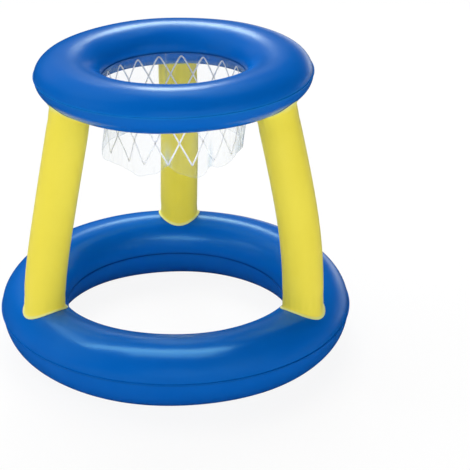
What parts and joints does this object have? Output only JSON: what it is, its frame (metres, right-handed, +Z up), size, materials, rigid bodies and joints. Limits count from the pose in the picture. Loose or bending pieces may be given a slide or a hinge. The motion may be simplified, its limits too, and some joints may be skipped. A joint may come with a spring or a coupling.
{
  "type": "floating basketball hoop",
  "caption": "Inflatable pool basketball hoop: a wide float ring carries a smaller top ring on bowed posts, with a clear film net printed with a lattice.",
  "frame": {"origin": "on the floor under the middle of the rings", "axes": "+Z up along the rings' common axis, -Y the front, with one post at the back (+Y)"},
  "size_m": [0.61, 0.61, 0.52],
  "materials": {
    "blue_vinyl": "glossy inflated vinyl",
    "yellow_vinyl": "satin inflated vinyl",
    "clear_film": "clear crinkled film",
    "white_print": "white ink",
    "clear_soft_vinyl": "clear soft vinyl"
  },
  "bodies": {
    "hoop": {"base_ring_upper_panel": "blue_vinyl", "base_ring_lower_panel": "blue_vinyl", "top_ring_upper_panel": "blue_vinyl", "top_ring_lower_panel": "blue_vinyl", "post_back": "yellow_vinyl", "post_left": "yellow_vinyl", "post_right": "yellow_vinyl", "net_film": "clear_film", "net_print": "white_print", "base_valve_seat": "clear_soft_vinyl", "top_valve_seat": "clear_soft_vinyl"},
    "base_neck": {"base_valve_neck": "clear_soft_vinyl"},
    "base_plug": {"base_valve_plug": "clear_soft_vinyl"},
    "base_flap": {"base_valve_flap": "clear_soft_vinyl"},
    "top_neck": {"top_valve_neck": "clear_soft_vinyl"},
    "top_plug": {"top_valve_plug": "clear_soft_vinyl"},
    "top_flap": {"top_valve_flap": "clear_soft_vinyl"}
  },
  "joints": [
    {"name": "base_valve_neck_slide", "type": "slide", "parent": "hoop", "child": "base_neck", "axis": [0.4663, 0.7463, 0.4749], "range_m": [0, 0.007]},
    {"name": "base_valve_plug_hinge", "type": "hinge", "parent": "base_neck", "child": "base_plug", "pos_m": [0.16249, 0.24872, 0.08979], "axis": [0.2517, 0.4028, -0.88], "range_deg": [0, 110]},
    {"name": "base_valve_flap_hinge", "type": "hinge", "parent": "base_neck", "child": "base_flap", "pos_m": [0.15191, 0.23593, 0.08091], "axis": [-0.2517, -0.4028, 0.88], "range_deg": [0, 45], "stiffness_Nm_per_rad": 0.0005},
    {"name": "top_valve_neck_slide", "type": "slide", "parent": "hoop", "child": "top_neck", "axis": [0.4114, 0.6584, 0.6303], "range_m": [0, 0.007]},
    {"name": "top_valve_plug_hinge", "type": "hinge", "parent": "top_neck", "child": "top_plug", "pos_m": [0.12475, 0.18832, 0.50339], "axis": [0.334, 0.5345, -0.7763], "range_deg": [0, 110]},
    {"name": "top_valve_flap_hinge", "type": "hinge", "parent": "top_neck", "child": "top_flap", "pos_m": [0.1152, 0.17718, 0.49161], "axis": [-0.334, -0.5345, 0.7763], "range_deg": [0, 45], "stiffness_Nm_per_rad": 0.0005}
  ]
}
